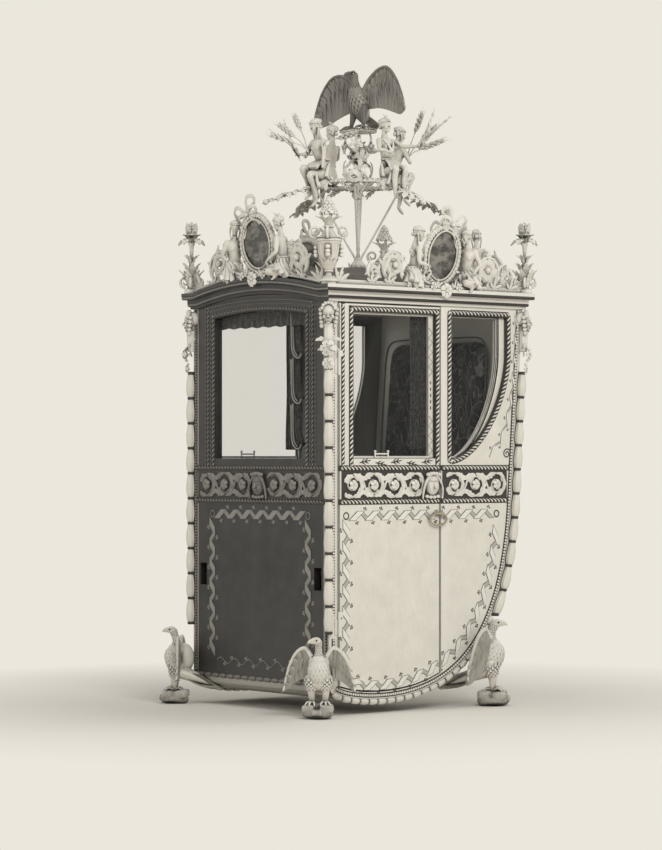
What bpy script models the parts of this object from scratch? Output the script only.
"""Sedan chair: a carried cabin with two side doors, carved bird feet, a cornice with a pierced
gallery, and a crown with seated figures and a spread bird. Metres, +Z up, front towards -Y.
Places along the cabin are given as s, the distance behind the front wall's outer face."""

import math

import bmesh
import bpy
from mathutils import Matrix, Vector

for old in list(bpy.data.objects):
    bpy.data.objects.remove(old)

# Clearances
REST_GAP = 0.0003
DOOR_SEAM = 0.0065
OVERRUN = 0.02

# Cabin shell
CABIN_WIDTH = 0.826
WALL = 0.030
SHELL = 0.036
DEPTH_AT_FRIEZE = 0.940
REAR_LEAN = 0.050
WALL_TOP = 1.540
FRIEZE_BOTTOM = 0.792
KEEL_HEIGHT = 0.043
KEEL_BEHIND_FRONT = 0.256
FRONT_FOOT = 0.109
ARCH_RISE = 0.042
TUB_END_HEIGHT = 0.300
FLOOR_TOP = 0.118

# Doors and windows
DOOR_FRONT = 0.048
DOOR_REAR = 0.553
WINDOW_BOTTOM = 0.956
WINDOW_TOP = 1.499
WINDOW_FRONT = 0.117
WINDOW_REAR = 0.510
QUARTER_FRONT = 0.613
QUARTER_REAR = 0.859
QUARTER_BEND_HEIGHT = 1.357
QUARTER_POWER = 1.7
REVEAL_DEPTH = 0.013
REVEAL_STEP_TOP = 0.007
REVEAL_STEP_REAR = 0.023
QUARTER_STEP_REAR = 0.046
FRONT_WINDOW_WIDTH = 0.554
FRONT_WINDOW_ARCH = 0.020
GLASS = 0.004
GLASS_INSET = 0.017
HINGE_RADIUS = 0.006
HINGE_LENGTH = 0.070
HINGE_HEIGHTS = (0.330, 1.300)
HINGE_LEAF = 0.018
HINGE_EYE = 0.022
HINGE_LEAF_THICKNESS = 0.003
HANDLE_HEIGHT = 0.724
HANDLE_WIDTH = 0.087
HANDLE_DROP = 0.046
HANDLE_ROD = 0.0045
HANDLE_STANDOFF = 0.008
HANDLE_ROSE = 0.014
CURTAIN_WIDTH = 0.078
CURTAIN_THICKNESS = 0.020
CURTAIN_LENGTH = 0.520
CURTAIN_LAP = 0.010
FRONT_CURTAIN_WIDTH = 0.094
FRONT_CURTAIN_INSET = 0.014
VALANCE_THICKNESS = 0.006
VALANCE_DROP = 0.046

# Ways for the carrying poles, through the front and rear walls
POLE_X = 0.348
POLE_HEIGHT = 0.507
POLE_SLOT_WIDTH = 0.0435
POLE_SLOT_TALL = 0.085

# Cornice: (outward, up) from the top outer edge of the wall
CORNICE_TALL = 0.062
CORNICE_OUT = 0.035
CORNICE_SHARES = (
    (0.23, 0.0),
    (0.34, 0.22),
    (0.52, 0.32),
    (0.52, 0.55),
    (0.86, 0.71),
    (1.0, 0.80),
    (1.0, 1.0),
)
ROOF_DOME = 0.060
ROOF_THICKNESS = 0.020

# Corner bundles of tied reeds
BUNDLE_RADIUS = 0.019
BUNDLE_WAIST = 0.012
BUNDLE_STEP = 0.096
BUNDLE_TOP = 1.345
BUNDLE_FOOT_FRONT = 0.312
BUNDLE_FOOT_REAR = 0.350
BUNDLE_OUT = 0.007

# Corner terms: a head over a fluted neck and two roses
TERM_HEAD_TALL = 0.088
TERM_HEAD_WIDE = 0.060
TERM_TOP = 1.532
TERM_NECK = 0.017
TERM_HEAD_OUT = 0.0123
ROSE_LARGE = 0.024
ROSE_SMALL = 0.018

# Bird feet
FRONT_BIRD_TALL = 0.305
REAR_BIRD_TALL = 0.340
BIRD_OUT = 0.026
BIRD_AHEAD = 0.072
REAR_BIRD_REST = 0.270
HEAD_TURN_DEGREES = 50.0

# Gallery on the cornice
GALLERY_RAIL = 0.014
GALLERY_DEPTH = 0.022
GALLERY_SET_BACK = 0.006
MEDALLION_WIDE = 0.180
MEDALLION_TALL = 0.244
MEDALLION_THICK = 0.030
MEDALLION_BEHIND_MIDDLE = 0.060
SCROLL_ROD = 0.009
SCROLL_RADII = (0.052, 0.045)
SCROLL_PLACES = (0.215, 0.300)
SCROLL_TURNS = ((-100, 320), (-80, -300))
FIGURE_TALL = 0.235
FIGURE_PLACE = 0.135
FIGURE_ARM = 0.011
KNOT_RADIUS = 0.014
BOW_LOOP_WIDE = 0.030
BOW_LOOP_TALL = 0.020
URN_TALL = 0.325
URN_WIDE = 0.096
FINIAL_TALL = 0.290
FINIAL_WIDE = 0.098
CORNER_FOOT = 0.036

# Crown
CROWN_RING_RADIUS = 0.176
CROWN_RING_RISE = 0.428
CROWN_RING_ROD = 0.0105
CROWN_STRUT = 0.005
CROWN_STEM = 0.006
CROWN_BOSS_RADIUS = 0.030
CROWN_BOSS_TALL = 0.040
PERCH_RISE = 0.208
PERCH_HALF = 0.075
PERCH_ROD = 0.006
VINE_ROD = 0.006
SEATED_TALL = 0.235
CROWN_BIRD_TALL = 0.235
CROWN_WING_REACH = 0.235
GARLAND_ROD = 0.004
GARLAND_END_RISE = 0.333
GARLAND_LEAF = 0.020
GARLAND_STOP = 0.030

# Seat
SEAT_WIDTH = 0.610
SEAT_FRONT = 0.470
CUSHION_OVERHANG = 0.008
SEAT_BOX_TOP = 0.425
CUSHION_TALL = 0.075
SQUAB_THICK = 0.048
SQUAB_TOP = 1.440

# The bird's outline as shares of its height: place ahead, height, half width, half depth
BIRD_BODY_SHARES = (
    (-0.14, 0.33, 0.03, 0.04),
    (-0.10, 0.41, 0.12, 0.11),
    (-0.04, 0.52, 0.155, 0.155),
    (0.00, 0.63, 0.145, 0.145),
    (-0.01, 0.73, 0.085, 0.085),
    (-0.01, 0.82, 0.050, 0.055),
    (0.01, 0.90, 0.048, 0.055),
    (0.04, 0.955, 0.048, 0.050),
    (0.06, 0.985, 0.020, 0.022),
)
BIRD_BEAK_SHARE = 0.215
BIRD_ROCK_SHARE = 0.185
BIRD_ROCK_WIDE_SHARE = 0.215
BIRD_LEG_SHARE = 0.038
FRONT_WING_SHARES = (0.32, 0.08)
REAR_WING_SHARES = (0.36, 0.25)

HALF = CABIN_WIDTH / 2
DEPTH_AT_TOP = DEPTH_AT_FRIEZE + REAR_LEAN
LEAN_SLOPE = REAR_LEAN / (WALL_TOP - FRIEZE_BOTTOM)
CORNICE_TOP = WALL_TOP + CORNICE_TALL
CROWN_RING_HEIGHT = CORNICE_TOP + CROWN_RING_RISE
PERCH_HEIGHT = CROWN_RING_HEIGHT + PERCH_RISE
GARLAND_END_HEIGHT = CORNICE_TOP + GARLAND_END_RISE
FRONT_REACH = 0.1532
REAR_REACH = DEPTH_AT_TOP + GALLERY_SET_BACK + FINIAL_WIDE / 2
FRONT_Y = (FRONT_REACH - REAR_REACH) / 2
MIDDLE = DEPTH_AT_TOP / 2
BOW_HALF = HALF - CORNER_FOOT
BOW_STEPS = 12
BOW_PLACES = [BOW_HALF * (2 * k / BOW_STEPS - 1) for k in range(BOW_STEPS + 1)]


def colour(name, rgb, roughness, metallic=0.0):
    made = bpy.data.materials.new(name)
    made.use_nodes = True
    shader = made.node_tree.nodes["Principled BSDF"]
    shader.inputs["Base Color"].default_value = (*rgb, 1.0)
    shader.inputs["Roughness"].default_value = roughness
    shader.inputs["Metallic"].default_value = metallic
    made.diffuse_color = (*rgb, 1.0)
    return made


IVORY = colour("ivory_paint", (0.80, 0.76, 0.67), 0.45)
SHADE = colour("dark_lacquer", (0.09, 0.085, 0.08), 0.35)
CARVED = colour("carved_ivory", (0.74, 0.69, 0.58), 0.50)
LEATHER = colour("roof_leather", (0.05, 0.045, 0.04), 0.55)
DAMASK = colour("dark_damask", (0.07, 0.06, 0.055), 0.85)
PANE = colour("window_glass", (0.85, 0.88, 0.88), 0.05)
BRASS = colour("aged_brass", (0.45, 0.38, 0.26), 0.40, 1.0)


def at(x, s, z):
    """A point of the cabin, from its place across, behind the front face, and above the floor."""
    return Vector((x, FRONT_Y + s, z))


def add(name, mesh, material=None):
    made = bpy.data.objects.new(name, mesh)
    bpy.context.scene.collection.objects.link(made)
    if material:
        made.data.materials.clear()
        made.data.materials.append(material)
    return made


def from_bmesh(name, bm, material=None):
    bmesh.ops.recalc_face_normals(bm, faces=bm.faces)
    mesh = bpy.data.meshes.new(name)
    bm.to_mesh(mesh)
    bm.free()
    return add(name, mesh, material)


def rebuilt(piece):
    """Replaces a piece's mesh by what its modifiers make of it."""
    graph = bpy.context.evaluated_depsgraph_get()
    mesh = bpy.data.meshes.new_from_object(piece.evaluated_get(graph))
    piece.modifiers.clear()
    piece.data = mesh
    return piece


def booleans(piece, others, operation):
    for other in others:
        change = piece.modifiers.new(operation.lower(), "BOOLEAN")
        change.operation = operation
        change.solver = "EXACT"
        change.object = other
    rebuilt(piece)
    for other in others:
        bpy.data.objects.remove(other)
    return piece


def clear_of_cabin(piece):
    """Cuts a piece back to the cabin's outside."""
    return booleans(piece, [silhouette_cutter()], "DIFFERENCE")


def fuse(name, pieces, material):
    """One closed body from pieces that overlap."""
    made = booleans(pieces[0], pieces[1:], "UNION")
    made.name = name
    made.data.name = name
    made.data.materials.clear()
    made.data.materials.append(material)
    return made


def smooth(piece, degrees=40.0):
    piece.data.shade_smooth()
    piece.data.set_sharp_from_angle(angle=math.radians(degrees))
    return piece


def loft(name, rings, material=None):
    """A closed skin over rings of points, with flat caps at both ends."""
    bm = bmesh.new()
    rows = [[bm.verts.new(p) for p in ring] for ring in rings]
    count = len(rows[0])
    for low, high in zip(rows, rows[1:]):
        for i in range(count):
            j = (i + 1) % count
            bm.faces.new((low[i], low[j], high[j], high[i]))
    bm.faces.new(rows[0][::-1])
    bm.faces.new(rows[-1])
    return from_bmesh(name, bm, material)


def prism_x(name, outline, x_low, x_high, material=None):
    """An outline of (s, z) points, carried across the cabin from x_low to x_high."""
    return loft(name, [[at(x, s, z) for s, z in outline] for x in (x_low, x_high)], material)


def prism_y(name, outline, s_low, s_high, material=None):
    """An outline of (x, z) points, carried along the cabin from s_low to s_high."""
    return loft(name, [[at(x, s, z) for x, z in outline] for s in (s_low, s_high)], material)


def block(name, low, high, material=None):
    (x0, s0, z0), (x1, s1, z1) = low, high
    return prism_x(name, [(s0, z0), (s1, z0), (s1, z1), (s0, z1)], x0, x1, material)


def frame_along(direction):
    """Two unit vectors square to a direction."""
    d = Vector(direction).normalized()
    helper = Vector((0, 0, 1)) if abs(d.z) < 0.9 else Vector((1, 0, 0))
    u = helper.cross(d).normalized()
    return u, d.cross(u)


def tube(name, path, radii, sides=6, material=None):
    """A round bar along a path, with a radius at each point."""
    points = [Vector(p) for p in path]
    last = len(points) - 1
    tangents = [(points[min(i + 1, last)] - points[max(i - 1, 0)]).normalized() for i in range(last + 1)]
    u, v = frame_along(tangents[0])
    rings = []
    for i, point in enumerate(points):
        if i:
            turn = tangents[i - 1].rotation_difference(tangents[i])
            u = turn @ u
            v = turn @ v
        angles = [2 * math.pi * k / sides for k in range(sides)]
        rings.append([point + radii[i] * (math.cos(a) * u + math.sin(a) * v) for a in angles])
    return loft(name, rings, material)


def turned(name, centre, profile, sides=12, material=None, start=0.5):
    """A turned piece on a vertical axis, from (radius, height) points."""
    angles = [2 * math.pi * (k + start) / sides for k in range(sides)]
    rings = [
        [centre + Vector((r * math.cos(a), r * math.sin(a), z)) for a in angles] for r, z in profile
    ]
    return loft(name, rings, material)


def egg(name, centre, radii, turn=None, sides=8, rows=6):
    """An ellipsoid with its three half widths along turned axes."""
    bm = bmesh.new()
    bmesh.ops.create_uvsphere(bm, u_segments=sides, v_segments=rows, radius=1.0)
    shape = (turn or Matrix.Identity(3)).to_4x4() @ Matrix.Diagonal((*radii, 1.0))
    bmesh.ops.transform(bm, matrix=Matrix.Translation(centre) @ shape, verts=bm.verts)
    return from_bmesh(name, bm)


def bezier(a, b, c, d, steps):
    """Points on a cubic curve, its last one left out."""
    found = []
    for k in range(steps):
        t = k / steps
        weights = ((1 - t) ** 3, 3 * t * (1 - t) ** 2, 3 * t * t * (1 - t), t**3)
        found.append(tuple(sum(w * p[i] for w, p in zip(weights, (a, b, c, d))) for i in (0, 1)))
    return found


def side_profile():
    """The cabin's outer line in (s, z): front foot, keel, rear curve and leaning rear wall."""
    drop = FRONT_FOOT - KEEL_HEIGHT
    keel = (KEEL_BEHIND_FRONT, KEEL_HEIGHT)
    front = bezier(
        (0.0, FRONT_FOOT),
        (0.0, FRONT_FOOT - 0.6 * drop),
        (0.45 * KEEL_BEHIND_FRONT, KEEL_HEIGHT),
        keel,
        5,
    )
    rise = 0.7 * (FRIEZE_BOTTOM - KEEL_HEIGHT)
    rear = bezier(
        keel,
        (KEEL_BEHIND_FRONT + 0.6 * (DEPTH_AT_FRIEZE - KEEL_BEHIND_FRONT), KEEL_HEIGHT),
        (DEPTH_AT_FRIEZE - LEAN_SLOPE * rise, FRIEZE_BOTTOM - rise),
        (DEPTH_AT_FRIEZE, FRIEZE_BOTTOM),
        14,
    )
    return front + rear + [(DEPTH_AT_FRIEZE, FRIEZE_BOTTOM), (DEPTH_AT_TOP, WALL_TOP)]


def moved_in(line, distance):
    """The line moved towards the inside of the cabin, which lies on its left."""
    found = []
    last = len(line) - 1
    for i, (s, z) in enumerate(line):
        a = line[max(i - 1, 0)]
        b = line[min(i + 1, last)]
        length = math.hypot(b[0] - a[0], b[1] - a[1])
        found.append((s - distance * (b[1] - a[1]) / length, z + distance * (b[0] - a[0]) / length))
    return found


def inner_line(distance):
    """The profile moved in, its tight front bend left square; one point shorter than the profile."""
    return [(distance, FRONT_FOOT)] + moved_in(PROFILE, distance)[2:]


PROFILE = side_profile()
PROFILE_INNER = inner_line(SHELL)


def height_at(line, s):
    """Height of the line's lower run at a place behind the front face."""
    for (s0, z0), (s1, z1) in zip(line, line[1:]):
        if s0 <= s <= s1 and z1 < FRIEZE_BOTTOM:
            return z0 + (z1 - z0) * (s - s0) / (s1 - s0)
    return line[0][1]


def place_at(line, z):
    """Place behind the front face where the line's rear run passes a height."""
    for (s0, z0), (s1, z1) in reversed(list(zip(line, line[1:]))):
        if z0 <= z <= z1:
            return s0 + (s1 - s0) * (z - z0) / (z1 - z0)
    return line[-1][0]


TUB_LAST = next(i for i, (s, z) in enumerate(PROFILE) if s > KEEL_BEHIND_FRONT and z > TUB_END_HEIGHT)


def make_tub():
    """The curved underside, one bent board across the whole width."""
    outer = PROFILE[: TUB_LAST + 1]
    inner = PROFILE_INNER[:TUB_LAST]
    return smooth(prism_x("tub", outer + inner[::-1], -HALF, HALF, IVORY), 30)


def risen(line, rise):
    """The line with its last stretch carried on, at its own slope, by a rise."""
    (s0, z0), (s1, z1) = line[-2:]
    return line[:-1] + [(s1 + rise * (s1 - s0) / (z1 - z0), z1 + rise)]


def make_rear_wall():
    """The rear wall: the upper end of the rear curve and the leaning back, with two pole ways.
    Its top rises with the arch of the cornice, and its two faces go on at their own lean."""
    outer = PROFILE[TUB_LAST:]
    inner = PROFILE_INNER[TUB_LAST - 1 :]
    run = Vector((outer[1][0] - outer[0][0], outer[1][1] - outer[0][1])).normalized() * REST_GAP
    outer[0] = (outer[0][0] + run.x, outer[0][1] + run.y)
    inner[0] = (inner[0][0] + run.x, inner[0][1] + run.y)
    inner[-1] = (inner[-1][0], WALL_TOP)
    rings = []
    for x in (-HALF, *BOW_PLACES, HALF):
        line = risen(outer, bow(x)) + risen(inner, bow(x))[::-1]
        rings.append([at(x, s, z) for s, z in line])
    wall = loft("rear_wall", rings, IVORY)
    s_low = place_at(PROFILE_INNER, POLE_HEIGHT - POLE_SLOT_TALL) - SHELL
    return smooth(booleans(wall, pole_cutters(s_low, DEPTH_AT_FRIEZE + OVERRUN), "DIFFERENCE"), 30)


def pole_cutters(s_low, s_high):
    made = []
    for side in (-1, 1):
        middle = side * POLE_X
        low = (middle - POLE_SLOT_WIDTH / 2, s_low, POLE_HEIGHT - POLE_SLOT_TALL / 2)
        high = (middle + POLE_SLOT_WIDTH / 2, s_high, POLE_HEIGHT + POLE_SLOT_TALL / 2)
        made.append(block("pole_cutter", low, high))
    return made


def arch(x, rise, half):
    return rise * max(0.0, 1 - (x / half) ** 2)


def bow(x):
    """How far the front and rear edges of the cornice rise above its corners."""
    return arch(x, ARCH_RISE, BOW_HALF)


def arched_outline(half, bottom, top, rise, steps=12):
    """A pane's outline in (x, z), with a bowed top."""
    xs = [half * (1 - 2 * k / steps) for k in range(steps + 1)]
    return [(-half, bottom), (half, bottom)] + [(x, top + arch(x, rise, half)) for x in xs]


def make_front_wall():
    """The front wall between its two corner posts, with a window and pole ways."""
    half = HALF - WALL - REST_GAP
    foot = FRONT_FOOT + REST_GAP
    top = [(x, WALL_TOP + bow(x)) for x in (half, *reversed(BOW_PLACES), -half)]
    wall = prism_y("front_wall", [(-half, foot), (half, foot)] + top, 0.0, WALL, SHADE)
    window = arched_outline(FRONT_WINDOW_WIDTH / 2, WINDOW_BOTTOM, WINDOW_TOP, FRONT_WINDOW_ARCH)
    cutters = [prism_y("window_cutter", window, -OVERRUN, WALL + OVERRUN)]
    return booleans(wall, cutters + pole_cutters(-OVERRUN, WALL + OVERRUN), "DIFFERENCE")


def make_front_post(side, name):
    """The upright at a front corner, from the front face back to the door's seam."""
    x_low, x_high = side_range(side, HALF - WALL, HALF)
    low = (x_low, 0.0, FRONT_FOOT + REST_GAP)
    return block(name, low, (x_high, DOOR_FRONT - DOOR_SEAM, WALL_TOP), SHADE)


def side_range(side, inner, outer):
    """The two x values of a layer of a side wall, lowest first."""
    return sorted((side * inner, side * outer))


def make_door(side, name):
    """A full-height door leaf with its window, whose lower edge follows the tub."""
    steps = 8
    front, rear = DOOR_FRONT, DOOR_REAR
    sill = [front + (rear - front) * k / steps for k in range(steps + 1)]
    bottom = [(s, height_at(PROFILE_INNER, s) + DOOR_SEAM) for s in sill]
    top = WALL_TOP - DOOR_SEAM
    x_low, x_high = side_range(side, HALF - WALL, HALF)
    leaf = prism_x(name, bottom + [(rear, top), (front, top)], x_low, x_high, IVORY)
    low = (x_low - OVERRUN, WINDOW_FRONT, WINDOW_BOTTOM)
    high = (x_high + OVERRUN, WINDOW_REAR, WINDOW_TOP)
    x_near, x_far = side_range(side, HALF - REVEAL_DEPTH, HALF + OVERRUN)
    near = (x_near, WINDOW_FRONT, WINDOW_BOTTOM)
    far = (x_far, WINDOW_REAR + REVEAL_STEP_REAR, WINDOW_TOP + REVEAL_STEP_TOP)
    cutters = [block("window_cutter", low, high), block("reveal_cutter", near, far)]
    leaf = booleans(leaf, cutters, "DIFFERENCE")
    return fuse(name, [leaf] + door_knuckles(side), IVORY)


def door_knuckles(side):
    """The door's own knuckles, which stand on the fixed ones of the front wall."""
    made = []
    inner = HALF - HINGE_LEAF_THICKNESS
    outer = HALF + REST_GAP + HINGE_LEAF_THICKNESS
    x_low, x_high = side_range(side, inner, outer)
    axis_x = side * (HALF + REST_GAP + HINGE_RADIUS)
    for z in HINGE_HEIGHTS:
        low = z + HINGE_LENGTH / 2 + REST_GAP
        profile = ((HINGE_RADIUS, 0.0), (HINGE_RADIUS, HINGE_EYE))
        made.append(turned("knuckle", at(axis_x, hinge_s(), low), profile, 10))
        rear = DOOR_FRONT + HINGE_LEAF
        made.append(block("leaf", (x_low, DOOR_FRONT, low), (x_high, rear, low + HINGE_EYE)))
    return made


def quarter_window(inset=0.0, step_rear=0.0, step_top=0.0):
    """The quarter window in (s, z): straight at the front and top, one power curve at the rear."""
    rear = QUARTER_REAR + step_rear
    top = WINDOW_TOP + step_top
    wide = rear - QUARTER_FRONT
    tall = QUARTER_BEND_HEIGHT - WINDOW_BOTTOM
    steps = 10
    curve = []
    for k in range(steps + 1):
        u = math.sin(math.pi / 2 * k / steps)
        fall = tall * (1 - u**QUARTER_POWER) ** (1 / QUARTER_POWER)
        curve.append((QUARTER_FRONT + wide * u, QUARTER_BEND_HEIGHT - fall))
    outline = curve + [(rear, top), (QUARTER_FRONT, top)]
    middle = (QUARTER_FRONT + wide / 2, (WINDOW_BOTTOM + top) / 2)
    return [inset_towards(point, middle, inset) for point in outline]


def inset_towards(point, middle, inset):
    away = Vector((point[0] - middle[0], point[1] - middle[1]))
    away.length = away.length - 2 * inset
    return (middle[0] + away.x, middle[1] + away.y)


def make_quarter_panel(side, name):
    """The fixed side wall behind the door, with its curved quarter window."""
    line = inner_line(SHELL + REST_GAP)
    start = DOOR_REAR + DOOR_SEAM
    edge = [(s, z) for s, z in line if s > start + REST_GAP]
    edge[-1] = (edge[-1][0], WALL_TOP)
    outline = [(start, height_at(line, start))] + edge + [(start, WALL_TOP)]
    x_low, x_high = side_range(side, HALF - WALL, HALF)
    panel = prism_x(name, outline, x_low, x_high, IVORY)
    x_near, x_far = side_range(side, HALF - REVEAL_DEPTH, HALF + OVERRUN)
    outer = quarter_window(step_rear=QUARTER_STEP_REAR, step_top=REVEAL_STEP_TOP)
    cutter = prism_x("window_cutter", quarter_window(), x_low - OVERRUN, x_high + OVERRUN)
    reveal = prism_x("reveal_cutter", outer, x_near, x_far)
    return booleans(panel, [cutter, reveal], "DIFFERENCE")


def make_panes():
    """Window glass, each pane inset in its own opening."""
    half = FRONT_WINDOW_WIDTH / 2 - REST_GAP
    outline = arched_outline(half, WINDOW_BOTTOM + REST_GAP, WINDOW_TOP - REST_GAP, FRONT_WINDOW_ARCH)
    panes = {"front_glass": prism_y("front_glass", outline, GLASS_INSET, GLASS_INSET + GLASS, PANE)}
    for side, word in ((1, "right"), (-1, "left")):
        x_low, x_high = side_range(side, HALF - GLASS_INSET - GLASS, HALF - GLASS_INSET)
        low = (x_low, WINDOW_FRONT + REST_GAP, WINDOW_BOTTOM + REST_GAP)
        high = (x_high, WINDOW_REAR - REST_GAP, WINDOW_TOP - REST_GAP)
        panes["door_glass_" + word] = block("door_glass_" + word, low, high, PANE)
        name = "quarter_glass_" + word
        panes[name] = prism_x(name, quarter_window(REST_GAP), x_low, x_high, PANE)
    return panes


def cornice_section():
    """(outward, up) points of the cornice, from its inner lower edge round to its inner top."""
    steps = [(CORNICE_OUT * o, CORNICE_TALL * u) for o, u in CORNICE_SHARES]
    return [(-WALL, REST_GAP)] + [(o, max(u, REST_GAP)) for o, u in steps] + [(-WALL, CORNICE_TALL)]


def make_cornice():
    """Four mitred lengths of moulding; the front and rear lengths follow the arched wall tops."""
    section = cornice_section()
    made = []
    for name, s_edge, outward, dress in (
        ("cornice_front", 0.0, -1, SHADE),
        ("cornice_rear", DEPTH_AT_TOP, 1, CARVED),
    ):
        rings = []
        for x in (-HALF, *BOW_PLACES, HALF):
            ring = []
            for out, up in section:
                mitre = math.copysign(HALF + out - REST_GAP, x) if abs(x) == HALF else x
                ring.append(at(mitre, s_edge + outward * out, WALL_TOP + up + bow(x)))
            rings.append(ring)
        made.append(smooth(loft(name, rings, dress), 25))
    for side, word in ((1, "right"), (-1, "left")):
        rings = []
        for s_edge, outward in ((0.0, -1), (DEPTH_AT_TOP, 1)):
            reach = REST_GAP * outward
            rings.append(
                [at(side * (HALF + o), s_edge + outward * o - reach, WALL_TOP + u) for o, u in section]
            )
        made.append(loft("cornice_" + word, rings, CARVED))
    return made


def make_roof():
    """A thin domed roof inside the cornice, bowed with the front and rear arches."""
    steps = 10
    half = HALF - WALL - REST_GAP
    start, end = WALL + REST_GAP, DEPTH_AT_TOP - WALL - REST_GAP
    bm = bmesh.new()
    layers = []
    for level in (CORNICE_TOP - ROOF_THICKNESS, CORNICE_TOP):
        rows = []
        for j in range(steps + 1):
            v = 2 * j / steps - 1
            row = []
            for i in range(steps + 1):
                u = 2 * i / steps - 1
                rise = (ARCH_RISE + ROOF_DOME * (1 - v * v)) * (1 - u * u)
                row.append(bm.verts.new(at(u * half, start + (end - start) * (v + 1) / 2, level + rise)))
            rows.append(row)
        layers.append(rows)
    for rows in layers:
        for low, high in zip(rows, rows[1:]):
            for i in range(steps):
                bm.faces.new((low[i], low[i + 1], high[i + 1], high[i]))
    under, over = layers
    rims = (
        (under[0], over[0]),
        (under[-1], over[-1]),
        ([r[0] for r in under], [r[0] for r in over]),
        ([r[-1] for r in under], [r[-1] for r in over]),
    )
    for low, high in rims:
        for i in range(steps):
            bm.faces.new((low[i], low[i + 1], high[i + 1], high[i]))
    return smooth(from_bmesh("roof", bm, LEATHER), 30)


def silhouette_cutter():
    """The whole cabin as one prism, a gap larger, which hollows what is fitted round its corners."""
    outline = moved_in(PROFILE, -REST_GAP)
    outline[0] = (-REST_GAP, FRONT_FOOT)
    outline.append((outline[-1][0], WALL_TOP + OVERRUN))
    outline.append((-REST_GAP, WALL_TOP + OVERRUN))
    return prism_x("silhouette", outline, -HALF - REST_GAP, HALF + REST_GAP)


def bundle(name, path_at, low, high, material):
    """Reeds tied at even steps along a corner: full between the ties, narrow at them."""
    count = max(1, round((high - low) / BUNDLE_STEP))
    path, radii = [], []
    for k in range(3 * count + 1):
        tie = k % 3 == 0
        path.append(path_at(low + (high - low) * k / (3 * count)))
        radii.append(BUNDLE_WAIST if tie else BUNDLE_RADIUS)
    made = tube(name, path, radii, 10)
    return fuse(name, [clear_of_cabin(made)], material)


def make_bundles():
    made = []
    reach = BUNDLE_OUT
    outer = moved_in(PROFILE, -reach)
    for side, word in ((1, "right"), (-1, "left")):
        x = side * (HALF + reach)
        name = "corner_bundle_front_" + word
        made.append(
            bundle(name, lambda z, x=x: at(x, -reach, z), BUNDLE_FOOT_FRONT, BUNDLE_TOP, CARVED)
        )
        name = "corner_bundle_rear_" + word
        rear_at = lambda z, x=x: at(x, place_at(outer, z), z)
        made.append(bundle(name, rear_at, BUNDLE_FOOT_REAR, BUNDLE_TOP, CARVED))
    return made


def rear_edge(z):
    return place_at(PROFILE, z)


def make_term(side, rear, name):
    """A carved head with curls over a fluted neck and two roses, wrapped round a cabin corner."""
    head_z = TERM_TOP - TERM_HEAD_TALL / 2
    outward = Vector((side, 1 if rear else -1, 0)).normalized()
    corner = lambda z: at(side * HALF, rear_edge(z) if rear else 0.0, z)
    turn = Matrix.Rotation(math.atan2(outward.y, outward.x), 3, "Z")
    sunk = TERM_HEAD_OUT
    half = TERM_HEAD_WIDE / 2
    face = egg("face", corner(head_z) + outward * sunk, (half, 0.8 * half, TERM_HEAD_TALL / 2), turn)
    parts = [face]
    across = Vector((-outward.y, outward.x, 0))
    for way in (-1, 1):
        centre = corner(head_z - half / 2) + across * way * half + outward * (sunk / 2)
        parts.append(egg("curls", centre, (half / 2, half / 2, TERM_HEAD_TALL / 2.2), turn, 6, 4))
    rose_high = BUNDLE_TOP + ROSE_LARGE + 2 * ROSE_SMALL
    neck = [corner(z) + outward * TERM_NECK / 3 for z in (rose_high, head_z)]
    parts.append(tube("neck", neck, (TERM_NECK, TERM_NECK), 8))
    for radius, z in ((ROSE_LARGE, rose_high), (ROSE_SMALL, rose_high - ROSE_LARGE - ROSE_SMALL / 1.5)):
        parts.append(egg("rose", corner(z) + outward * radius / 2, (radius, radius, radius), turn))
    return smooth(fuse(name, [clear_of_cabin(part) for part in parts], CARVED))


def make_terms():
    made = []
    for side, word in ((1, "right"), (-1, "left")):
        made.append(make_term(side, False, "corner_term_front_" + word))
        made.append(make_term(side, True, "corner_term_rear_" + word))
    return made


def body_rings(spine, place, across, ahead, tall, sides=8):
    """Rings of an animal's trunk from (ahead, up, half width, half depth) shares of its height."""
    rings = []
    for forward, up, wide, deep in spine:
        centre = place + ahead * forward * tall + Vector((0, 0, up * tall))
        ring = []
        for k in range(sides):
            a = 2 * math.pi * k / sides
            ring.append(centre + across * wide * tall * math.cos(a) + ahead * deep * tall * math.sin(a))
        rings.append(ring)
    return rings


def blade(name, root, tip, wide_root, wide_tip, thick, across):
    """A flat feathered wing between two points: a leaf with a blunt root and a narrow tip."""
    along = tip - root
    face = along.cross(across).normalized()
    rings = []
    widths = (0.5 * wide_root, wide_root, 0.8 * wide_root, wide_tip)
    for share, wide in zip((0.0, 0.15, 0.6, 1.0), widths):
        centre = root + along * share
        w = across * wide / 2
        t = face * thick / 2
        rings.append([centre - w - t, centre + w - t, centre + w + t, centre - w + t])
    return loft(name, rings)


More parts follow.
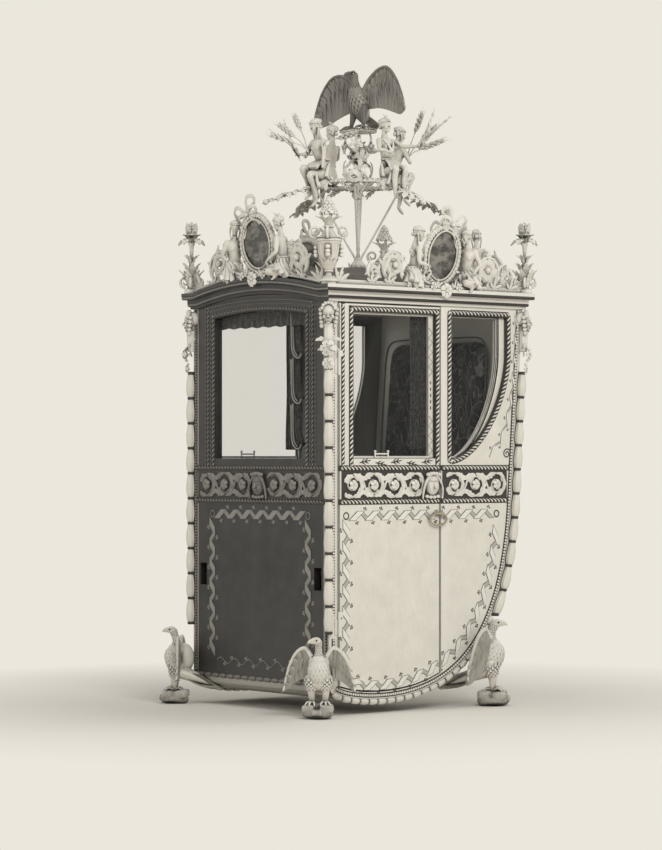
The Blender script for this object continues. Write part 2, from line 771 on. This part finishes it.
def make_bird_foot(name, place, ahead, head_turn, tall, wing_down, wing_back):
    """A standing bird on a rock that carries one corner of the cabin."""
    up = Vector((0, 0, 1))
    across = up.cross(ahead)
    rock_tall = BIRD_ROCK_SHARE * tall
    rock_wide = BIRD_ROCK_WIDE_SHARE * tall
    rock = turned(
        "rock",
        place,
        ((0.9 * rock_wide, 0.0), (rock_wide, 0.5 * rock_tall), (0.85 * rock_wide, rock_tall)),
        8,
        start=0.0,
    )
    trunk = loft("trunk", body_rings(BIRD_BODY_SHARES, place, across, ahead, tall))
    parts = [trunk, rock]
    gaze = Matrix.Rotation(math.radians(head_turn), 3, "Z") @ ahead
    forward = Matrix.Rotation(math.atan2(ahead.y, ahead.x), 3, "Z")
    head = place + ahead * 0.04 * tall + up * 0.935 * tall
    reach = BIRD_BEAK_SHARE * tall
    hook = head + gaze * (reach - 0.04 * tall) - up * 0.02 * tall
    beak = (head - gaze * 0.01 * tall, head + gaze * (reach - 0.06 * tall), hook)
    parts.append(tube("beak", beak, (0.042 * tall, 0.014 * tall, 0.004 * tall), 6))
    for way in (-1, 1):
        hip = place + across * way * 0.07 * tall + up * 0.48 * tall - ahead * 0.03 * tall
        foot = place + across * way * 0.075 * tall + up * (rock_tall - 0.01 * tall)
        radius = BIRD_LEG_SHARE * tall
        knee = hip.lerp(foot, 0.55)
        parts.append(tube("leg", (hip, knee, foot), (1.6 * radius, radius, radius), 6))
        toes = foot + ahead * 0.07 * tall + up * 0.02 * tall
        parts.append(egg("toes", toes, (0.075 * tall, 0.05 * tall, 0.03 * tall), forward, 6, 4))
        shoulder = place + across * way * 0.10 * tall + up * 0.80 * tall - ahead * 0.06 * tall
        tip = place + across * way * 0.42 * tall + up * wing_down * tall - ahead * wing_back * tall
        lean = (ahead * 0.75 + across * way * 0.45 + up * 0.25).normalized()
        parts.append(blade("wing", shoulder, tip, 0.26 * tall, 0.05 * tall, 0.06 * tall, lean))
        joint = place + across * way * 0.10 * tall + up * 0.70 * tall - ahead * 0.04 * tall
        parts.append(egg("shoulder", joint, (0.10 * tall, 0.08 * tall, 0.12 * tall), None, 6, 4))
    back = place - ahead * 0.16 * tall + up * 0.60 * tall
    parts.append(egg("back", back, (0.17 * tall, 0.17 * tall, 0.22 * tall)))
    rump = (place - ahead * 0.02 * tall + up * 0.42 * tall, place - ahead * 0.62 * tall + up * 0.20 * tall)
    parts.append(tube("tail", rump, (0.10 * tall, 0.12 * tall), 8))
    return smooth(clear_of_cabin(fuse(name, parts, CARVED)))


def make_bird_feet():
    made = []
    front = (FRONT_BIRD_TALL, *FRONT_WING_SHARES)
    rear = (REAR_BIRD_TALL, *REAR_WING_SHARES)
    for side, word in ((1, "right"), (-1, "left")):
        ahead = Vector((side, -1, 0)).normalized()
        place = at(side * (HALF + BIRD_OUT), -BIRD_AHEAD, 0.0)
        turn = -HEAD_TURN_DEGREES if side > 0 else 0.0
        made.append(make_bird_foot("bird_foot_front_" + word, place, ahead, turn, *front))
        ahead = Vector((side, 1, 0)).normalized()
        place = at(side * (HALF + BIRD_OUT), rear_edge(REAR_BIRD_REST) + BIRD_OUT, 0.0)
        made.append(make_bird_foot("bird_foot_rear_" + word, place, ahead, 0.0, *rear))
    return made


FIGURE_SHARES = (
    (0.0, 0.0, 0.20, 0.12),
    (0.0, 0.16, 0.22, 0.12),
    (0.0, 0.34, 0.14, 0.09),
    (0.0, 0.52, 0.16, 0.09),
    (0.0, 0.62, 0.17, 0.08),
    (0.0, 0.68, 0.06, 0.06),
    (0.0, 0.74, 0.06, 0.06),
    (0.0, 0.80, 0.11, 0.11),
    (0.0, 0.92, 0.12, 0.12),
    (0.0, 0.99, 0.05, 0.05),
)


def scroll(name, centre, along, radius, start, sweep, rod):
    """A C-scroll in the plane of the gallery, tightening as it turns."""
    steps = 8
    path, radii = [], []
    for k in range(steps + 1):
        a = math.radians(start + sweep * k / steps)
        r = radius * (1 - 0.55 * k / steps)
        path.append(centre + along * r * math.cos(a) + Vector((0, 0, r * math.sin(a))))
        radii.append(rod * (1 - 0.35 * k / steps))
    return tube(name, path, radii, 6)


def make_gallery(name, middle, along, half_length, lift, medallion_shift, material):
    """A pierced gallery: rail, oval medallion with a bow, two half figures and scrolls."""
    up = Vector((0, 0, 1))
    outward = along.cross(up)
    deep = GALLERY_DEPTH / 2
    rings = []
    for t in (-half_length, *BOW_PLACES, half_length):
        base = middle + along * t + up * (lift(t) + REST_GAP)
        top = base + up * GALLERY_RAIL
        side = outward * deep
        rings.append([base - side, base + side, top + side, top - side])
    parts = [loft("rail", rings)]
    ground = lambda t: middle + along * t + up * (lift(t) + GALLERY_RAIL / 2)
    centre = ground(medallion_shift) + up * MEDALLION_TALL / 2
    for scale, thick in ((1.0, MEDALLION_THICK), (0.80, 1.3 * MEDALLION_THICK)):
        rings = []
        for way in (-0.5, 0.5):
            ring = []
            for k in range(20):
                a = 2 * math.pi * k / 20
                wide = along * (MEDALLION_WIDE / 2 * math.cos(a))
                tall = up * (MEDALLION_TALL / 2 * math.sin(a))
                ring.append(centre + scale * (wide + tall) + outward * way * thick)
            rings.append(ring)
        parts.append(loft("medallion", rings))
    knot = centre + up * MEDALLION_TALL / 2
    parts.append(egg("knot", knot + up * KNOT_RADIUS / 2, (KNOT_RADIUS,) * 3))
    for way in (-1, 1):
        loop = knot + along * way * 0.93 * BOW_LOOP_WIDE + up * 0.9 * BOW_LOOP_TALL
        tilt = Matrix.Rotation(math.atan2(along.y, along.x), 3, "Z") @ Matrix.Rotation(-way * 0.7, 3, "Y")
        shape = (BOW_LOOP_WIDE, 0.6 * BOW_LOOP_TALL, BOW_LOOP_TALL)
        parts.append(egg("bow", loop, shape, tilt, 8, 5))
        foot = ground(medallion_shift + way * FIGURE_PLACE)
        parts.append(loft("figure", body_rings(FIGURE_SHARES, foot, along, outward, FIGURE_TALL)))
        shoulder = foot + up * 0.60 * FIGURE_TALL
        hand = centre + along * way * 0.46 * MEDALLION_WIDE - up * 0.16 * MEDALLION_TALL
        elbow = shoulder.lerp(hand, 0.5) - up * 0.08 * FIGURE_TALL
        radii = (FIGURE_ARM, 0.8 * FIGURE_ARM, 0.6 * FIGURE_ARM)
        parts.append(tube("arm", (shoulder, elbow, hand), radii))
        for place, radius, (start, sweep) in zip(SCROLL_PLACES, SCROLL_RADII, SCROLL_TURNS):
            t = medallion_shift + way * place
            if abs(t) > half_length - radius - SCROLL_ROD:
                continue
            turn = start if way > 0 else 180 - start
            middle_up = ground(t) + up * (radius + GALLERY_RAIL / 2)
            parts.append(scroll("scroll", middle_up, along, radius, turn, way * sweep, SCROLL_ROD))
    return smooth(fuse(name, parts, material))


def make_galleries():
    made = []
    top = CORNICE_TOP
    set_back = GALLERY_SET_BACK
    foot = CORNER_FOOT
    front_half = HALF + set_back - foot
    side_half = DEPTH_AT_TOP / 2 + set_back - foot
    flat = lambda t: 0.0
    for name, spot, along, dress in (
        ("gallery_front", at(0.0, -set_back, top), Vector((1, 0, 0)), CARVED),
        ("gallery_rear", at(0.0, DEPTH_AT_TOP + set_back, top), Vector((-1, 0, 0)), CARVED),
    ):
        made.append(make_gallery(name, spot, along, front_half, bow, 0.0, dress))
    for name, side in (("gallery_right", 1), ("gallery_left", -1)):
        spot = at(side * (HALF + set_back), MIDDLE, top)
        along = Vector((0, side, 0))
        shift = side * MEDALLION_BEHIND_MIDDLE
        made.append(make_gallery(name, spot, along, side_half, flat, shift, CARVED))
    return made


URN_SHARES = (
    (0.60, 0.0),
    (0.60, 0.06),
    (0.25, 0.09),
    (0.25, 0.13),
    (0.70, 0.24),
    (1.0, 0.44),
    (1.0, 0.53),
    (0.55, 0.58),
    (0.32, 0.66),
    (0.45, 0.68),
    (0.30, 0.72),
    (0.66, 0.82),
    (0.60, 0.90),
    (0.25, 0.99),
)
FINIAL_SHARES = (
    (0.60, 0.0),
    (0.60, 0.06),
    (0.25, 0.12),
    (0.30, 0.35),
    (0.20, 0.52),
    (0.30, 0.60),
    (1.0, 0.68),
    (0.95, 0.76),
    (0.40, 0.80),
    (0.48, 0.90),
    (0.18, 0.99),
)


def make_corner_ornament(name, shares, side, rear, tall, wide):
    s = DEPTH_AT_TOP + GALLERY_SET_BACK if rear else -GALLERY_SET_BACK
    spot = at(side * (HALF + GALLERY_SET_BACK), s, CORNICE_TOP + REST_GAP)
    profile = [(r * wide / 2, z * tall) for r, z in shares]
    return smooth(turned(name, spot, profile, 10, CARVED))


def crown_centre():
    return at(0.0, MIDDLE, 0.0)


def roof_peak():
    return CORNICE_TOP + ARCH_RISE + ROOF_DOME


def make_crown_frame():
    """Boss, struts, twisted ring, stem, vines and perch, with a garland rod to each medallion."""
    centre = crown_centre()
    up = Vector((0, 0, 1))
    foot = roof_peak() + REST_GAP
    wide, tall = CROWN_BOSS_RADIUS, CROWN_BOSS_TALL
    parts = [turned("boss", centre + up * foot, ((wide, 0.0), (wide, tall / 3), (wide / 2, tall)), 12)]
    bm = bmesh.new()
    around, sides = 24, 6
    rows = []
    for i in range(around):
        a = 2 * math.pi * i / around
        outward = Vector((math.cos(a), math.sin(a), 0))
        row = []
        for j in range(sides):
            b = 2 * math.pi * (j + 0.5) / sides
            rise = CROWN_RING_HEIGHT + CROWN_RING_ROD * math.sin(b)
            reach = CROWN_RING_RADIUS + CROWN_RING_ROD * math.cos(b)
            row.append(bm.verts.new(centre + up * rise + outward * reach))
        rows.append(row)
    for i in range(around):
        low, high = rows[i], rows[(i + 1) % around]
        for j in range(sides):
            k = (j + 1) % sides
            bm.faces.new((low[j], low[k], high[k], high[j]))
    parts.append(from_bmesh("ring", bm))
    low = centre + up * (foot + CROWN_BOSS_TALL / 2)
    for k in range(4):
        a = math.pi / 4 + k * math.pi / 2
        outward = Vector((math.cos(a), math.sin(a), 0))
        rim = centre + up * CROWN_RING_HEIGHT + outward * CROWN_RING_RADIUS
        seat = low + outward * CROWN_BOSS_RADIUS / 4
        parts.append(tube("strut", (seat, rim), (CROWN_STRUT, CROWN_STRUT), 6))
        start = centre + up * (CROWN_RING_HEIGHT - (0.20 + 0.02 * k) * PERCH_RISE) + outward * CROWN_STEM / 2
        shoulder = centre + up * (CROWN_RING_HEIGHT + 0.24 * PERCH_RISE) + outward * 0.31 * CROWN_RING_RADIUS
        crook = centre + up * (CROWN_RING_HEIGHT + 0.7 * PERCH_RISE) + outward * 0.15 * CROWN_RING_RADIUS
        end = centre + up * (PERCH_HEIGHT - PERCH_ROD / 4) + outward * 0.6 * PERCH_HALF
        parts.append(tube("vine", (start, shoulder, crook, end), (VINE_ROD,) * 4, 6))
    stem = (low, centre + up * PERCH_HEIGHT)
    parts.append(tube("stem", stem, (CROWN_STEM, CROWN_STEM), 8))
    plate = ((PERCH_HALF, 0.0), (PERCH_HALF, 2 * PERCH_ROD))
    parts.append(turned("perch", centre + up * (PERCH_HEIGHT - PERCH_ROD), plate, 12))
    for direction, reach in garland_runs():
        rim = centre + up * CROWN_RING_HEIGHT + direction * CROWN_RING_RADIUS
        end = centre + up * GARLAND_END_HEIGHT + direction * reach
        parts.append(tube("garland", (rim, end), (GARLAND_ROD, GARLAND_ROD), 6))
        leaf = rim.lerp(end, 0.55)
        parts.append(egg("leaf", leaf, (GARLAND_LEAF, GARLAND_LEAF, 0.7 * GARLAND_LEAF), None, 6, 4))
    return smooth(fuse("crown_frame", parts, CARVED))


def garland_runs():
    """The direction of each garland rod and how far out it ends, short of the medallion's bow."""
    return (
        (Vector((1, 0, 0)), HALF - GARLAND_STOP),
        (Vector((-1, 0, 0)), HALF - GARLAND_STOP),
        (Vector((0, 1, 0)), MIDDLE - GARLAND_STOP),
        (Vector((0, -1, 0)), MIDDLE - GARLAND_STOP),
    )


SEATED_SHARES = (
    (0.0, 0.0, 0.17, 0.13),
    (0.0, 0.16, 0.17, 0.13),
    (0.0, 0.34, 0.12, 0.09),
    (0.0, 0.56, 0.16, 0.09),
    (0.0, 0.65, 0.15, 0.07),
    (0.0, 0.69, 0.05, 0.05),
    (0.0, 0.74, 0.05, 0.05),
    (0.0, 0.79, 0.09, 0.10),
    (0.0, 0.90, 0.10, 0.11),
    (0.0, 0.98, 0.05, 0.05),
)


def make_seated_figure(name, outward):
    """A carved figure seated on the crown ring, legs hanging outside it."""
    up = Vector((0, 0, 1))
    across = up.cross(outward)
    tall = SEATED_TALL
    ring_top = CROWN_RING_HEIGHT + CROWN_RING_ROD + REST_GAP
    hip = crown_centre() + up * ring_top + outward * (CROWN_RING_RADIUS - CROWN_RING_ROD / 3)
    parts = [loft("trunk", body_rings(SEATED_SHARES, hip, across, outward, tall))]
    for way in (-1, 1):
        root = hip + across * way * 0.08 * tall + up * 0.14 * tall
        knee = root + outward * 0.34 * tall + up * (0.08 if way > 0 else 0.0) * tall
        ankle = knee - up * 0.42 * tall - outward * 0.03 * tall
        toe = ankle + outward * 0.12 * tall - up * 0.06 * tall
        radii = (0.095 * tall, 0.07 * tall, 0.045 * tall, 0.03 * tall)
        parts.append(tube("leg", (root, knee, ankle, toe), radii))
        shoulder = hip + across * way * 0.14 * tall + up * 0.60 * tall
        elbow = shoulder + across * way * 0.12 * tall - up * 0.18 * tall + outward * 0.05 * tall
        hand = elbow + outward * 0.16 * tall - up * 0.06 * tall + across * 0.10 * tall
        parts.append(tube("arm", (shoulder, elbow, hand), (0.05 * tall, 0.04 * tall, 0.03 * tall)))
    return smooth(fuse(name, parts, CARVED))


def make_seated_figures():
    return [
        make_seated_figure("crown_figure_right", Vector((1, 0, 0))),
        make_seated_figure("crown_figure_left", Vector((-1, 0, 0))),
        make_seated_figure("crown_figure_rear", Vector((0, 1, 0))),
        make_seated_figure("crown_figure_front", Vector((0, -1, 0))),
    ]


def make_crown_bird():
    """The spread bird that stands on the perch."""
    up = Vector((0, 0, 1))
    ahead = Vector((0, -1, 0))
    across = Vector((1, 0, 0))
    tall = CROWN_BIRD_TALL
    place = crown_centre() + up * (PERCH_HEIGHT + PERCH_ROD + REST_GAP)
    shares = (
        (-0.16, 0.14, 0.05, 0.04),
        (-0.10, 0.26, 0.12, 0.10),
        (-0.02, 0.44, 0.17, 0.16),
        (0.04, 0.60, 0.15, 0.13),
        (0.07, 0.72, 0.08, 0.08),
        (0.09, 0.82, 0.07, 0.07),
        (0.12, 0.92, 0.07, 0.08),
        (0.14, 0.99, 0.03, 0.03),
    )
    parts = [loft("trunk", body_rings(shares, place, across, ahead, tall))]
    head = place + ahead * 0.15 * tall + up * 0.90 * tall
    beak = (head, head + ahead * 0.16 * tall, head + ahead * 0.19 * tall - up * 0.04 * tall)
    parts.append(tube("beak", beak, (0.06 * tall, 0.025 * tall, 0.006 * tall), 6))
    for way in (-1, 1):
        hip = place + across * way * 0.12 * tall + up * 0.40 * tall
        claws = place + across * way * 0.20 * tall
        parts.append(turned("claws", claws, ((0.07 * tall, 0.0), (0.055 * tall, 0.05 * tall)), 8))
        foot = claws + up * 0.03 * tall
        shank = foot.lerp(hip, 0.35)
        parts.append(tube("leg", (foot, shank, hip), (0.045 * tall, 0.04 * tall, 0.11 * tall)))
        root = place + across * way * 0.08 * tall + up * 0.58 * tall - ahead * 0.02 * tall
        wrist = place + across * way * 0.62 * CROWN_WING_REACH + up * 0.92 * tall - ahead * 0.10 * tall
        tip = place + across * way * CROWN_WING_REACH + up * 0.30 * tall - ahead * 0.16 * tall
        lean = (up * 0.95 - across * way * 0.20).normalized()
        parts.append(blade("wing", root, wrist, 0.42 * tall, 0.30 * tall, 0.07 * tall, lean))
        back = wrist - (wrist - root) * 0.15
        lean = (up * 0.35 - across * way * 0.9).normalized()
        parts.append(blade("wing", back, tip, 0.34 * tall, 0.05 * tall, 0.05 * tall, lean))
    tail = (place + up * 0.24 * tall - ahead * 0.06 * tall, place + up * 0.06 * tall - ahead * 0.42 * tall)
    parts.append(blade("tail", tail[0], tail[1], 0.20 * tall, 0.26 * tall, 0.05 * tall, across))
    return smooth(fuse("crown_bird", parts, CARVED))


def make_seat():
    """Seat box, cushion and padded back, kept between the two pole ways."""
    half = SEAT_WIDTH / 2
    line = inner_line(SHELL + REST_GAP)
    floor = [(s, z) for s, z in line if z < FLOOR_TOP - REST_GAP]
    end = place_at(line, FLOOR_TOP)
    front = WALL + REST_GAP
    foot = FRONT_FOOT + REST_GAP
    top = [(end, FLOOR_TOP), (front, FLOOR_TOP)]
    outline = [(front, foot), (SHELL + REST_GAP, foot)] + floor[1:] + top
    board_half = HALF - WALL - DOOR_SEAM
    board = prism_x("floor_board", outline, -board_half, board_half, IVORY)
    low = FLOOR_TOP + REST_GAP
    curve = [(s, z) for s, z in line if low < z < SEAT_BOX_TOP and s > SEAT_FRONT]
    top = [(place_at(line, SEAT_BOX_TOP), SEAT_BOX_TOP), (SEAT_FRONT, SEAT_BOX_TOP)]
    box = prism_x("seat_box", [(SEAT_FRONT, low), (end, low)] + curve + top, -half, half, DAMASK)
    low = SEAT_BOX_TOP + REST_GAP
    high = low + CUSHION_TALL
    corner = (-half, SEAT_FRONT - CUSHION_OVERHANG, low)
    cushion = block("seat_cushion", corner, (half, place_at(line, low), high), DAMASK)
    start = high + REST_GAP
    heights = [start] + [z for s, z in line if start < z < SQUAB_TOP] + [SQUAB_TOP]
    back = [(place_at(line, z), z) for z in heights]
    face = [(s - SQUAB_THICK, z) for s, z in reversed(back)]
    squab = prism_x("back_squab", back + face, -half, half, DAMASK)
    return [board, box, cushion, squab]


def make_hinge(side, z, name):
    """A fixed hinge knuckle on the door's pivot line, with its leaf on the front wall's return."""
    x = side * (HALF + HINGE_RADIUS + REST_GAP)
    s = hinge_s()
    low = z - HINGE_LENGTH / 2
    barrel = turned("barrel", at(x, s, low), ((HINGE_RADIUS, 0.0), (HINGE_RADIUS, HINGE_LENGTH)), 10)
    x_low, x_high = side_range(side, HALF + REST_GAP, HALF + REST_GAP + HINGE_LEAF_THICKNESS)
    high = low + HINGE_LENGTH - HINGE_RADIUS
    leaf = block("leaf", (x_low, s - HINGE_LEAF, low + HINGE_RADIUS), (x_high, s, high))
    return fuse(name, [barrel, leaf], BRASS)


def hinge_s():
    return DOOR_FRONT - DOOR_SEAM / 2


def make_handle(side, name):
    """A drop ring on a rose, standing off the door so that it clears the wall behind the seam."""
    x = side * (HALF + HANDLE_STANDOFF + HANDLE_ROD)
    middle = DOOR_REAR - HANDLE_ROSE - HANDLE_ROD
    steps = 14
    bm = bmesh.new()
    rows = []
    for k in range(steps):
        a = 2 * math.pi * k / steps
        outward = Vector((0, math.cos(a), math.sin(a)))
        centre = at(x, middle + HANDLE_WIDTH / 2 * outward.y, HANDLE_HEIGHT + HANDLE_DROP / 2 * outward.z)
        row = []
        for j in range(6):
            b = 2 * math.pi * j / 6
            reach = math.cos(b) * outward + Vector((math.sin(b), 0, 0))
            row.append(bm.verts.new(centre + HANDLE_ROD * reach))
        rows.append(row)
    for k in range(steps):
        low, high = rows[k], rows[(k + 1) % steps]
        for j in range(6):
            m = (j + 1) % 6
            bm.faces.new((low[j], low[m], high[m], high[j]))
    ring = from_bmesh("ring", bm)
    eye_z = HANDLE_HEIGHT + HANDLE_DROP / 2
    shank = (at(side * (HALF + REST_GAP), middle, eye_z), at(x, middle, eye_z))
    post = tube("post", shank, (HANDLE_ROSE, HANDLE_ROD * 1.4), 8)
    return smooth(fuse(name, [post, ring], BRASS))


def make_curtain(side, name):
    """A gathered curtain hung inside the door, at the rear edge of its window."""
    outer = HALF - WALL - REST_GAP
    x_low, x_high = side_range(side, outer - CURTAIN_THICKNESS, outer)
    top = WINDOW_TOP + CURTAIN_LAP
    low = (x_low, WINDOW_REAR - CURTAIN_WIDTH, top - CURTAIN_LENGTH)
    return block(name, low, (x_high, WINDOW_REAR + CURTAIN_LAP, top), DAMASK)


def make_front_hangings():
    """A valance behind the top of the front window, and a gathered curtain behind its right edge."""
    half = FRONT_WINDOW_WIDTH / 2 + CURTAIN_LAP
    s_low = WALL + REST_GAP
    s_high = s_low + VALANCE_THICKNESS
    low = (-half, s_low, WINDOW_TOP - VALANCE_DROP)
    block("front_valance", low, (half, s_high, WINDOW_TOP + FRONT_WINDOW_ARCH), DAMASK)
    rear = s_high + REST_GAP
    x_high = FRONT_WINDOW_WIDTH / 2 - FRONT_CURTAIN_INSET
    top = WINDOW_TOP + CURTAIN_LAP
    low = (x_high - FRONT_CURTAIN_WIDTH, rear, top - CURTAIN_LENGTH)
    block("front_curtain", low, (x_high, rear + CURTAIN_THICKNESS, top), DAMASK)


def hang_door(side, word, glass):
    """Puts a door and what is fixed to it on an empty at its pivot line."""
    pivot = bpy.data.objects.new("door_pivot_" + word, None)
    bpy.context.scene.collection.objects.link(pivot)
    pivot.location = at(side * (HALF + HINGE_RADIUS + REST_GAP), hinge_s(), 0.0)
    bpy.context.view_layer.update()
    handle = make_handle(side, "door_handle_" + word)
    curtain = make_curtain(side, "door_curtain_" + word)
    for piece in (make_door(side, "door_" + word), glass, handle, curtain):
        piece.parent = pivot
        piece.matrix_parent_inverse = pivot.matrix_world.inverted()


def main():
    make_tub()
    make_rear_wall()
    make_front_wall()
    panes = make_panes()
    for side, word in ((1, "right"), (-1, "left")):
        make_front_post(side, "front_post_" + word)
        make_quarter_panel(side, "quarter_panel_" + word)
        hang_door(side, word, panes["door_glass_" + word])
        for z, end in zip(HINGE_HEIGHTS, ("lower", "upper")):
            make_hinge(side, z, f"hinge_{word}_{end}")
    make_cornice()
    make_roof()
    make_bundles()
    make_terms()
    make_bird_feet()
    make_galleries()
    make_corner_ornament("urn_front_right", URN_SHARES, 1, False, URN_TALL, URN_WIDE)
    make_corner_ornament("urn_rear_left", URN_SHARES, -1, True, URN_TALL, URN_WIDE)
    make_corner_ornament("finial_front_left", FINIAL_SHARES, -1, False, FINIAL_TALL, FINIAL_WIDE)
    make_corner_ornament("finial_rear_right", FINIAL_SHARES, 1, True, FINIAL_TALL, FINIAL_WIDE)
    make_crown_frame()
    make_seated_figures()
    make_crown_bird()
    make_seat()
    make_front_hangings()


main()
